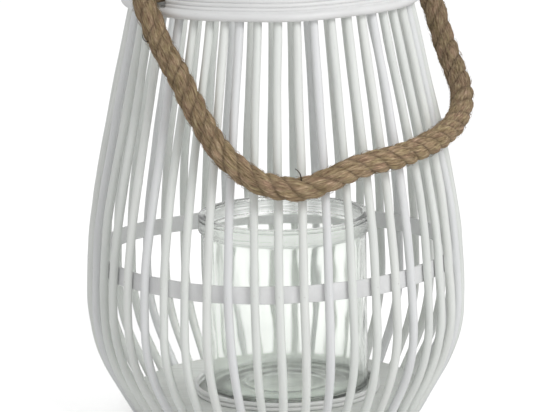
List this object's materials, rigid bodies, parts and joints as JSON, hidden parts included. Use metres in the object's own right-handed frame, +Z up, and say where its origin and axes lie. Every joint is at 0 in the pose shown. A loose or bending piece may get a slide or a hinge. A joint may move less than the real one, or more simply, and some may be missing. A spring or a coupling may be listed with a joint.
{
  "type": "candle lantern",
  "caption": "Hanging candle lantern: a barrel of bent white cane ribs with a cane-wound rim, a loose glass jar on its floor and a rope handle that swings over the top.",
  "frame": {"origin": "centre of the base, on the surface that the rib feet stand on", "axes": "+Z up along the middle of the lantern, -Y towards the front, where the rope handle hangs down, +X to the right seen from the front"},
  "size_m": [0.2877, 0.287, 0.3419],
  "materials": {
    "cane": "white painted, satin",
    "strip": "white painted, satin",
    "floor": "white painted, matte",
    "glass": "clear",
    "rope": "twisted jute, matte"
  },
  "bodies": {
    "cage": {"rib_01": "cane", "rib_02": "cane", "rib_03": "cane", "rib_04": "cane", "rib_05": "cane", "rib_06": "cane", "rib_07": "cane", "rib_08": "cane", "rib_09": "cane", "rib_10": "cane", "rib_11": "cane", "rib_12": "cane", "rib_13": "cane", "rib_14": "cane", "rib_15": "cane", "rib_16": "cane", "rib_17": "cane", "rib_18": "cane", "rib_19": "cane", "rib_20": "cane", "rib_21": "cane", "rib_22": "cane", "rib_23": "cane", "rib_24": "cane", "rib_25": "cane", "rib_26": "cane", "rib_27": "cane", "rib_28": "cane", "rib_29": "cane", "rib_30": "cane", "rib_31": "cane", "rib_32": "cane", "rib_33": "cane", "rib_34": "cane", "rib_35": "cane", "rib_36": "cane", "rib_37": "cane", "rib_38": "cane", "rib_39": "cane", "rib_40": "cane", "rib_41": "cane", "rib_42": "cane", "rib_43": "cane", "rib_44": "cane", "rib_45": "cane", "rib_46": "cane", "rib_47": "cane", "rib_48": "cane", "floor_disc": "floor", "mid_band": "strip", "top_hoop": "strip", "lower_rim_cane": "cane", "upper_rim_cane": "cane", "fine_rim_canes": "cane", "jar_ring": "cane"},
    "jar": {"glass_jar": "glass"},
    "handle": {"rope_handle": "rope", "rope_end_left": "rope", "rope_end_right": "rope"}
  },
  "joints": [
    {"name": "jar_lift", "type": "slide", "parent": "cage", "child": "jar", "axis": [0, 0, 1], "range_m": [0, 0.335]},
    {"name": "handle_swing", "type": "hinge", "parent": "cage", "child": "handle", "pos_m": [0, 0, 0.3245], "axis": [-0.7826, -0.6225, 0], "range_deg": [0, 250]}
  ]
}
